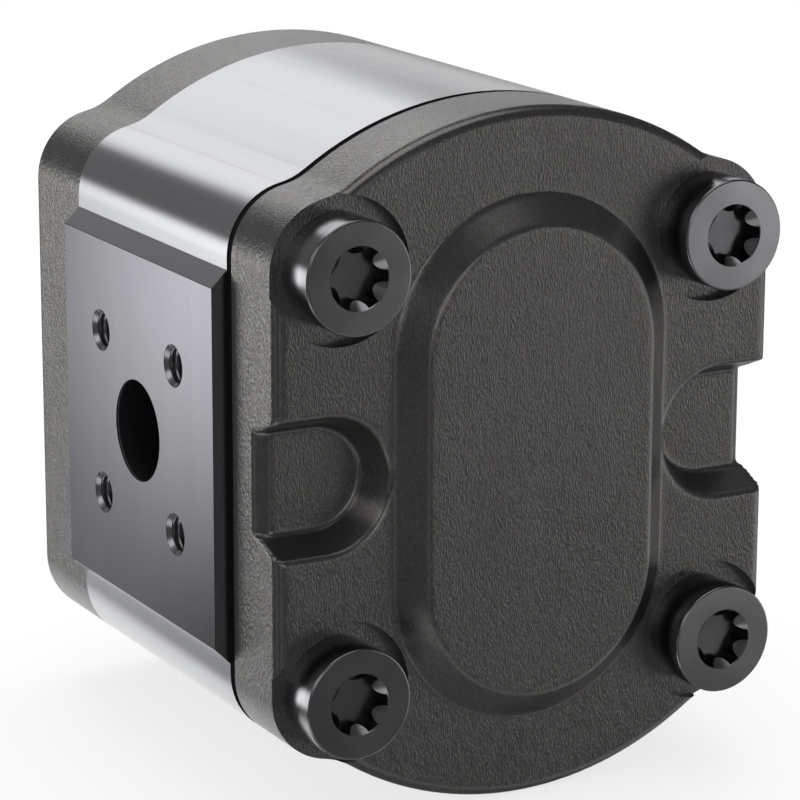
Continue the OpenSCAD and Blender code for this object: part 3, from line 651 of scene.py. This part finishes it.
def rearCoverCutters():
    # Spot faces and screw holes, shaft end recesses and dowel holes, each turned about its axis
    c, h = rearCover, housing
    joint = h["rearJoint"]
    face = joint - c["thickness"]
    bm = bmesh.new()
    for sx in (-1, 1):
        for sz in (-1, 1):
            turnedSolid(bm, (sx * h["screwAt"], sz * h["screwAt"]), [
                (0, joint + 1), (c["screwHole"], joint + 1), (c["screwHole"], face + c["spotDepth"]),
                (c["spotFace"], face + c["spotDepth"]), (c["spotFace"], face - c["oblongRise"]),
                (0, face - c["oblongRise"])])
        turnedSolid(bm, (sx * c["dowelAt"][0], -sx * c["dowelAt"][1]), [
            (0, joint + 1), (c["dowelHole"][0], joint + 1), (c["dowelHole"][0], joint - c["dowelHole"][1]),
            (0, joint - c["dowelHole"][1] - 1.5)], 32)
        turnedSolid(bm, (0, sx * c["oblongReach"]), [
            (0, joint + 1), (c["shaftRecess"][0], joint + 1),
            (c["shaftRecess"][0], joint - c["shaftRecess"][1]), (0, joint - c["shaftRecess"][1])], 64)
    centreOnHousing(bm)
    return makePiece(bm, "rear cover turned cuts", [])


def leakCutters():
    c = rearCover
    reach, width = c["leakWay"]
    depth = c["shaftRecess"][1]
    bm = bmesh.new()
    for s in (-1, 1):
        made = bmesh.ops.create_cube(bm, size=1.0)
        bmesh.ops.scale(bm, vec=(reach, depth + 1, width), verts=made["verts"])
        bmesh.ops.translate(bm, vec=(
            reach / 2, housing["rearJoint"] + (1 - depth) / 2, s * c["oblongReach"]), verts=made["verts"])
    centreOnHousing(bm)
    return makePiece(bm, "leak cuts", [])


def markEdges(piece, steps, gain):
    # How far each point stands out of the smoothed form, as an attribute
    bm = bmesh.new()
    bm.from_mesh(piece.data)
    edge = bm.verts.layers.float.new("edge")
    before = {v: v.co.copy() for v in bm.verts}
    for _ in range(steps):
        bmesh.ops.smooth_vert(
            bm, verts=bm.verts, factor=0.5, use_axis_x=True, use_axis_y=True, use_axis_z=True)
    for v, place in before.items():
        moved = place - v.co
        v.co = place
        v[edge] = moved.dot(v.normal) * gain
    bm.to_mesh(piece.data)
    bm.free()


def buildRearCover():
    c = rearCover
    cover = shapeCastBlank(housing["rearJoint"] - c["thickness"])
    grid = cover.modifiers.new("cast grid", "REMESH")
    grid.mode = "VOXEL"
    grid.voxel_size = c["voxel"] * mm
    soft = cover.modifiers.new("cast softness", "SMOOTH")
    soft.factor, soft.iterations = 0.5, c["softSteps"]
    bakeModifiers(cover)
    markEdges(cover, c["edgeSteps"], c["edgeGain"])
    combine(cover, rearCoverCutters())
    combine(cover, leakCutters())
    bm = bmesh.new()
    bm.from_mesh(cover.data)
    joint = housing["rearJoint"] * mm
    cut = bmesh.ops.bisect_plane(
        bm, geom=bm.verts[:] + bm.edges[:] + bm.faces[:], plane_co=(0, joint, 0), plane_no=(0, 1, 0),
        clear_outer=True)
    rim = [e for e in cut["geom_cut"] if isinstance(e, bmesh.types.BMEdge)]
    bmesh.ops.triangle_fill(bm, edges=rim, use_beauty=True, normal=(0, 1, 0))
    bm.to_mesh(cover.data)
    bm.free()
    cover.data.materials.clear()
    cover.data.materials.append(castCover)
    softenShading(cover, castCrease)
    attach(cover, "housing")
    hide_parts("rear_cover")
    report(f"rear cover, {len(cover.data.polygons)} faces")


buildRearCover()


# Tapped holes: true thread grooves in copies of the body and the front cover

threads = {
    "steps": 28,        # round one turn
    "crest": 0.12,      # share of the pitch
    "root": 0.1,
    "near": 0.03,       # how far off its core radius a wall face may lie
    "play": 0.05,
}


def mergedCopy(node):
    bm = bmesh.new()
    bm.from_mesh(nodes[node].data)
    toMillimetres(bm)
    bmesh.ops.remove_doubles(bm, verts=bm.verts, dist=weld)
    return bm


def threadGroove(place, core, major, pitch, start, end):
    # place takes +Z, the way into the hole, to the row frame
    t = threads
    bm = bmesh.new()
    shares = (
        (core, 0), (core, t["crest"] / 2), (major, 0.5 - t["root"] / 2), (major, 0.5 + t["root"] / 2),
        (core, 1 - t["crest"] / 2), (core, 1))
    points = [bm.verts.new((r, 0, start - pitch + share * pitch)) for r, share in shares]
    line = [bm.edges.new(pair) for pair in zip(points, points[1:])]
    turns = math.ceil((end - start) / pitch) + 1
    bmesh.ops.spin(
        bm, geom=points + line, cent=(0, 0, 0), axis=(0, 0, 1), dvec=(0, 0, pitch / t["steps"]),
        angle=2 * math.pi * turns, steps=turns * t["steps"])
    bmesh.ops.remove_doubles(bm, verts=bm.verts, dist=weld)
    for level, way in ((start, -1), (end, 1)):
        bmesh.ops.bisect_plane(
            bm, geom=bm.verts[:] + bm.edges[:] + bm.faces[:], plane_co=(0, 0, level), plane_no=(0, 0, way),
            clear_outer=True)
    bm.normal_update()
    probe = max(bm.faces, key=lambda f: f.calc_area())
    if probe.normal.dot(probe.calc_center_median() * Vector((1, 1, 0))) > 0:
        bmesh.ops.reverse_faces(bm, faces=bm.faces)
    bmesh.ops.transform(bm, matrix=place, verts=bm.verts)
    groove = bpy.data.meshes.new("thread groove")
    bm.to_mesh(groove)
    bm.free()
    return groove


def tapHole(bm, mouth, inward, core, major, pitch, start, end):
    # Takes the plain core wall out of a merged copy and puts the groove in its place
    axis = Vector(inward)
    origin = Vector(mouth)

    def onWall(face):
        for v in face.verts:
            away = v.co - origin
            depth = away.dot(axis)
            if abs((away - depth * axis).length - core) > threads["near"]:
                return False
            if not start - threads["play"] < depth < end + threads["play"]:
                return False
        return abs(face.normal.dot(axis)) < 0.2

    wall = [f for f in bm.faces if onWall(f)]
    bmesh.ops.delete(bm, geom=wall, context="FACES")
    turn = Vector((0, 0, 1)).rotation_difference(axis).to_matrix().to_4x4()
    groove = threadGroove(Matrix.Translation(origin) @ turn, core, major, pitch, start, end)
    bm.from_mesh(groove)
    bpy.data.meshes.remove(groove)
    return len(wall)


ports = {
    "padAt": 42.4,
    "pitchCircles": {-1: 35.0, 1: 40.0},    # pressure side at -X, suction side at +X
    "core": 2.5,
    "major": 3.0,
    "pitch": 1.0,
    "chamfer": 0.6,
    "depth": 13.0,
}


def buildBody():
    p = ports
    bm = mergedCopy("pump_body")
    taken = 0
    for side, circle in p["pitchCircles"].items():
        step = circle / (2 * math.sqrt(2))
        for sy in (-1, 1):
            for sz in (-1, 1):
                mouth = (side * p["padAt"], housing["bodyMid"] + sy * step, housing["midZ"] + sz * step)
                taken += tapHole(
                    bm, mouth, (-side, 0, 0), p["core"], p["major"], p["pitch"], p["chamfer"], p["depth"])
    body = makePiece(bm, "drawnPumpBody", [drawnBody], machinedCrease)
    weighFlats(body)
    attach(body, "housing")
    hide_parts("pump_body")
    report(f"pump body, {taken} plain wall faces tapped")


mounting = {
    "spacing": 60.0,
    "core": 4.25,
    "major": 5.0,
    "pitch": 1.5,
    "depth": 13.0,
    "pilotRadius": 25.2,
    "boresTo": -16.4,       # the walls of the bores are turned up to here along Y
}


def buildFrontCover():
    m = mounting
    bm = mergedCopy("front_cover")
    taken = 0
    for s in (-1, 1):
        taken += tapHole(
            bm, (s * m["spacing"] / 2, 0, housing["midZ"]), (0, -1, 0), m["core"], m["major"], m["pitch"],
            0.0, m["depth"])
    for f in bm.faces:
        centre = f.calc_center_median()
        flatCut = abs(f.normal.y) > 0.99 and not housing["frontJoint"] + 0.01 <= centre.y <= -0.01
        inside = centre.xz.length < m["pilotRadius"] or f.normal.dot(
            Vector((centre.x, 0, centre.z - housing["midZ"]))) < 0
        f.material_index = int(flatCut or centre.y > 0.01 or (inside and centre.y > m["boresTo"]))
    cover = makePiece(bm, "mountingCover", [castCover, facedCover], machinedCrease)
    weighFlats(cover)
    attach(cover, "housing")
    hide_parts("front_cover")
    report(f"front cover, {taken} plain wall faces tapped")


buildBody()
buildFrontCover()


screws = {
    "headTop": -86.4,
    "seat": -79.4,
    "headRadius": 8.0,
    "headRound": 0.3,
    "shank": 5.0,
    "core": 4.22,
    "taperAt": -18.0,
    "taper": 1.5,
    "tip": -6.5,
    "mouth": 4.5,
    "lobes": 4.4,
    "flute": 1.55,
    "fluteAt": 4.75,
    "fluteTurn": 30.0,
    "mouthCone": 1.5,
    "depth": 2.6,
    "floorCone": 0.45,
    "crease": 30.0,
}


def socketFace(bm, y):
    # One sixth from two arcs, then turned round
    s = screws
    reach, flute, away = s["lobes"], s["flute"], s["fluteAt"]
    along = (reach ** 2 - flute ** 2 + away ** 2) / (2 * away)
    meet = math.degrees(math.acos(along / reach))
    touch = math.degrees(math.atan2(math.sqrt(reach ** 2 - along ** 2), along - away))
    start = bm.verts.new((along, y, math.sqrt(reach ** 2 - along ** 2)))
    spinPoint(bm, start, (away, y, 0), 2 * (180 - touch), 12)
    lobeStart = min(bm.verts, key=lambda v: v.co.z)
    spinPoint(bm, lobeStart, (0, y, 0), -(60 - 2 * meet), 6)
    sixth = bm.verts[:] + bm.edges[:]
    for i in range(1, 6):
        repeat = bmesh.ops.duplicate(bm, geom=sixth)
        verts = [v for v in repeat["geom"] if isinstance(v, bmesh.types.BMVert)]
        bmesh.ops.rotate(
            bm, cent=(0, 0, 0), matrix=Matrix.Rotation(math.radians(60 * i), 3, "Y"), verts=verts)
    bmesh.ops.remove_doubles(bm, verts=bm.verts, dist=1e-3)
    bmesh.ops.rotate(
        bm, cent=(0, 0, 0), matrix=Matrix.Rotation(math.radians(s["fluteTurn"]), 3, "Y"), verts=bm.verts)
    return bmesh.ops.edgeloop_fill(bm, edges=bm.edges[:])["faces"][0]


def buildScrew():
    s = screws
    bm = bmesh.new()
    turnedSolid(bm, (0, 0), [
        (0, s["headTop"]), (s["headRadius"], s["headTop"]), (s["headRadius"], s["seat"]),
        (s["shank"], s["seat"]), (s["shank"], s["taperAt"]), (s["core"], s["taperAt"] + s["taper"]),
        (s["core"], s["tip"]), (0, s["tip"])])
    corner = [
        e for e in bm.edges
        if all(abs(v.co.xz.length - s["headRadius"]) < 1e-3 and abs(v.co.y - s["headTop"]) < 1e-3
               for v in e.verts)
    ]
    bmesh.ops.bevel(
        bm, geom=corner, offset=s["headRound"], segments=6, profile=0.5, affect="EDGES", material=-1)
    bmesh.ops.recalc_face_normals(bm, faces=bm.faces)
    screw = makePiece(bm, "coverScrew", [darkScrew])
    star = bmesh.new()
    pull(star, socketFace(star, s["headTop"] - 1), (0, s["depth"] + 1, 0))
    bmesh.ops.recalc_face_normals(star, faces=star.faces)
    combine(screw, makePiece(star, "socket tool", []))
    cone = bmesh.new()
    tip = s["fluteAt"] - s["flute"] - 0.1
    turnedSolid(cone, (0, 0), [
        (0, s["headTop"] - 1), (s["mouth"], s["headTop"] - 1), (s["mouth"], s["headTop"]),
        (tip, s["headTop"] + s["mouthCone"]), (tip * 0.98, s["headTop"] + s["depth"]),
        (0, s["headTop"] + s["depth"] + s["floorCone"])])
    bmesh.ops.recalc_face_normals(cone, faces=cone.faces)
    combine(screw, makePiece(cone, "mouth tool", []))
    # socket walls and floor take the materials of painted shade
    for face in screw.data.polygons:
        away = face.center.xz.length / mm
        sunk = face.center.y / mm - s["headTop"]
        if away < s["mouth"] and 0 < sunk < s["depth"] + s["floorCone"]:
            if abs(face.normal.y) < 0.2:
                face.material_index = 1
            elif sunk > s["depth"] - 0.1:
                face.material_index = 2
    return screw


def buildCoverScrews():
    one = buildScrew()
    bm = bmesh.new()
    for sx in (-1, 1):
        for sz in (-1, 1):
            mesh = one.data.copy()
            at = Vector((sx * housing["screwAt"], 0, housing["midZ"] + sz * housing["screwAt"])) * mm
            mesh.transform(Matrix.Translation(at))
            bm.from_mesh(mesh)
            bpy.data.meshes.remove(mesh)
    toMillimetres(bm)
    bpy.data.objects.remove(one)
    piece = makePiece(bm, "sixLobeCoverScrews", [darkScrew, shadedSocketWall, shadedSocketFloor], screws["crease"])
    weighFlats(piece)
    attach(piece, "housing")
    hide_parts("cover_screws")
    report(f"cover screws, {len(piece.data.polygons)} faces")


buildCoverScrews()


# Finishes of the pieces that keep their own mesh

keptFinishes = {
    "rear_gasket": shadedBlackGasket,
    "front_body_seal": blackRubber,
    "front_bearing_block": blockAluminium,
    "rear_bearing_block": blockAluminium,
    "drive_bush_front": bearingBronze,
    "drive_bush_rear": bearingBronze,
    "idler_bush_front": bearingBronze,
    "idler_bush_rear": bearingBronze,
    "front_axial_seal": blackRubber,
    "rear_axial_seal": blackRubber,
    "front_support_rings": sealPlastic,
    "rear_support_rings": sealPlastic,
    "shaft_seal_case": sealSteel,
    "shaft_seal_lip": blackRubber,
    "shaft_seal_spring": springSteel,
    "seal_circlip": springSteel,
    "pilot_o_ring": blackRubber,
    "front_dowels": springSteel,
    "rear_dowels": springSteel,
    "drive_gear": groundSteel,
    "idler_gear": groundSteel,
}

for name, material in keptFinishes.items():
    nodes[name].data.materials.clear()
    nodes[name].data.materials.append(material)
report("kept pieces finished")


studio = {
    "floorRadius": 8.0,
    "floorTone": 0.82,
    "shadowKept": 0.25,         # share of real shadow on the floor near the pump
    "fadeFrom": 0.2,
    "fadeTo": 0.7,
    "fill": 0.75,               # level of the world for diffuse light
    "tentRadius": 6.0,
    "tentTone": 0.085,
}

panels = {
    # bright cards of the tent, in degrees: azimuth from +Y towards +X, elevation, half width, half height,
    # soft edge sideways and upwards, and last the tone
    "behind above": (9.0, 28.5, 12.0, 8.0, 9.0, 8.0, 1.5),
    "behind right": (31.0, 9.0, 8.0, 6.0, 6.0, 6.0, 0.85),
    "left strip": (-36.5, -7.5, 11.1, 4.5, 2.2, 8.0, 2.35),
    "left above": (-18.0, 18.0, 12.0, 10.0, 8.0, 8.0, 0.2),
    "below behind": (1.0, -27.0, 21.0, 6.0, 6.0, 6.0, 1.2),
    "right low": (130.0, -7.0, 14.5, 4.0, 8.0, 12.0, 1.05),
    "right side": (97.0, -22.0, 12.0, 8.0, 8.0, 8.0, 0.9),
    "left side": (-95.0, -42.0, 25.0, 8.0, 8.0, 8.0, 0.8),
    "left high": (-97.0, 34.0, 16.0, 8.0, 8.0, 8.0, 0.9),
    "behind low right": (43.0, -14.0, 8.0, 8.0, 8.0, 8.0, 0.85),
    "front left": (-150.0, -12.0, 6.0, 8.0, 7.0, 8.0, 0.3),
    "front high": (-164.0, 12.0, 18.0, 7.0, 8.0, 7.0, 1.0),
    "left": (-95.0, -9.0, 5.0, 6.0, 6.0, 6.0, 0.4),
    "behind left": (-64.0, 24.0, 11.0, 8.0, 8.0, 8.0, 0.9),
    "low ring": (0.0, -42.0, 180.0, 5.0, 1.0, 7.0, 0.5),
    "overhead": (0.0, 90.0, 180.0, 22.0, 1.0, 9.0, 1.0),
    "below": (0.0, -90.0, 180.0, 28.0, 1.0, 12.0, 0.18),
}


def seenDirectly(tree):
    # 1 for camera, glossy and transmission rays
    path = tree.nodes.new("ShaderNodeLightPath")
    twice = maths(tree, "MAXIMUM", path.outputs["Is Camera Ray"], path.outputs["Is Glossy Ray"])
    return maths(tree, "MAXIMUM", twice, path.outputs["Is Transmission Ray"])


def buildFloor():
    s = studio
    bm = bmesh.new()
    bmesh.ops.create_circle(bm, cap_ends=True, radius=s["floorRadius"], segments=96)
    bmesh.ops.translate(bm, vec=(0, 0, cadBox[0].z), verts=bm.verts)
    toMillimetres(bm)
    material, tree, shader = newMaterial("Pale studio floor", (s["floorTone"],) * 3, 0.7, 0.0, 0.2)
    away = addNode(tree, "VectorMath", {0: ownPlace(tree)}, operation="LENGTH").outputs["Value"]
    share = ramp(tree, away, s["fadeFrom"], s["fadeTo"], 1 - s["shadowKept"], 1.0)
    white = addNode(tree, "Emission", {"Color": (1, 1, 1, 1), "Strength": 1.0})
    mixed = addNode(tree, "MixShader", {
        0: maths(tree, "MULTIPLY", share, seenDirectly(tree)), 1: shader.outputs[0], 2: white.outputs[0]})
    tree.links.new(mixed.outputs[0], tree.nodes["Material Output"].inputs["Surface"])
    floor = makePiece(bm, "studio floor", [material])
    floor.visible_glossy = False        # the tent stands in for it in the metal


def buildWorld():
    world = bpy.data.worlds.new("Soft white room")
    world.use_nodes = True
    tree = world.node_tree
    level = addNode(
        tree, "MapRange", {"Value": seenDirectly(tree), 1: 0.0, 2: 1.0, 3: studio["fill"], 4: 1.0})
    background = tree.nodes["Background"]
    background.inputs["Color"].default_value = (1, 1, 1, 1)
    tree.links.new(level.outputs[0], background.inputs["Strength"])
    scene.world = world


def panelTone(tree, azimuth, elevation, panel):
    toSide, up, halfWidth, halfHeight, softSide, softUp, tone = panel
    sideways = maths(tree, "ABSOLUTE", maths(
        tree, "WRAP", maths(tree, "SUBTRACT", azimuth, toSide), 180.0, -180.0))
    upwards = maths(tree, "ABSOLUTE", maths(tree, "SUBTRACT", elevation, up))
    inside = maths(
        tree, "MULTIPLY", ramp(tree, sideways, halfWidth, halfWidth + softSide, 1.0, 0.0),
        ramp(tree, upwards, halfHeight, halfHeight + softUp, 1.0, 0.0))
    return maths(tree, "MULTIPLY", inside, tone)


def buildTent():
    # Dim photo tent with bright panels, seen only as reflections in the metal
    s = studio
    bm = bmesh.new()
    bmesh.ops.create_uvsphere(bm, u_segments=64, v_segments=32, radius=s["tentRadius"])
    toMillimetres(bm)
    material, tree, _ = newMaterial("Photo tent", (s["tentTone"],) * 3, 1.0)
    towards = addNode(tree, "VectorMath", {0: ownPlace(tree)}, operation="NORMALIZE").outputs[0]
    parts = addNode(tree, "SeparateXYZ", {0: towards})
    azimuth = maths(tree, "DEGREES", maths(tree, "ARCTAN2", parts.outputs["X"], parts.outputs["Y"]))
    elevation = maths(tree, "DEGREES", maths(tree, "ARCSINE", parts.outputs["Z"]))
    tone = s["tentTone"]
    for panel in panels.values():
        tone = maths(tree, "MAXIMUM", tone, panelTone(tree, azimuth, elevation, panel))
    glow = addNode(tree, "Emission", {"Color": (1, 1, 1, 1), "Strength": tone})
    tree.links.new(glow.outputs[0], tree.nodes["Material Output"].inputs["Surface"])
    tent = makePiece(bm, "photo tent", [material])
    for ray in ("camera", "diffuse", "transmission", "volume_scatter", "shadow"):
        setattr(tent, "visible_" + ray, False)


lamps = {
    # name: place, aimed at, width, height, watts
    "left soft box": ((-1.35, 0.75, 0.3), (0, -0.04, 0.0), 1.9, 0.5, 20.0),
    "top soft box": ((0.25, 0.35, 1.5), (0, -0.04, 0.0), 1.4, 1.4, 16.0),
    "right fill": ((1.6, -0.5, 0.5), (0, -0.04, 0.0), 1.4, 1.0, 8.0),
}


def buildLamps():
    for name, (place, target, width, height, watts) in lamps.items():
        light = bpy.data.lights.new(name, "AREA")
        light.shape = "RECTANGLE"
        light.size, light.size_y, light.energy = width, height, watts
        lamp = bpy.data.objects.new(name, light)
        scene.collection.objects.link(lamp)
        lamp.location = place
        lamp.rotation_euler = (Vector(target) - Vector(place)).to_track_quat("-Z", "Y").to_euler()
        lamp.visible_glossy = False         # the tent's panels are the highlights


view = {
    "place": (-0.2438, -0.48501, 0.1151),
    "azimuth": -28.89,
    "elevation": 14.589,
    "roll": 0.177,
    "lens": 156.51,     # millimetres, like the sensor's width
    "sensor": 36.0,
    "clip": (0.01, 50.0),
}


def buildCamera():
    v = view
    az, el, roll = (math.radians(v[k]) for k in ("azimuth", "elevation", "roll"))
    back = Vector((math.sin(az) * math.cos(el), -math.cos(az) * math.cos(el), math.sin(el)))
    right = Vector((math.cos(az), math.sin(az), 0))
    up = back.cross(right)
    rolledRight = right * math.cos(roll) + up * math.sin(roll)
    rolledUp = up * math.cos(roll) - right * math.sin(roll)
    lens = bpy.data.cameras.new("photo camera")
    lens.lens, lens.sensor_width, lens.sensor_fit = v["lens"], v["sensor"], "HORIZONTAL"
    lens.clip_start, lens.clip_end = v["clip"]
    camera = bpy.data.objects.new("photo camera", lens)
    scene.collection.objects.link(camera)
    turn = Matrix((rolledRight, rolledUp, back)).transposed().to_4x4()
    camera.matrix_world = Matrix.Translation(v["place"]) @ turn
    scene.camera = camera


buildFloor()
buildWorld()
buildTent()
buildLamps()
buildCamera()
scene.view_settings.view_transform = "Standard"
report("studio ready")
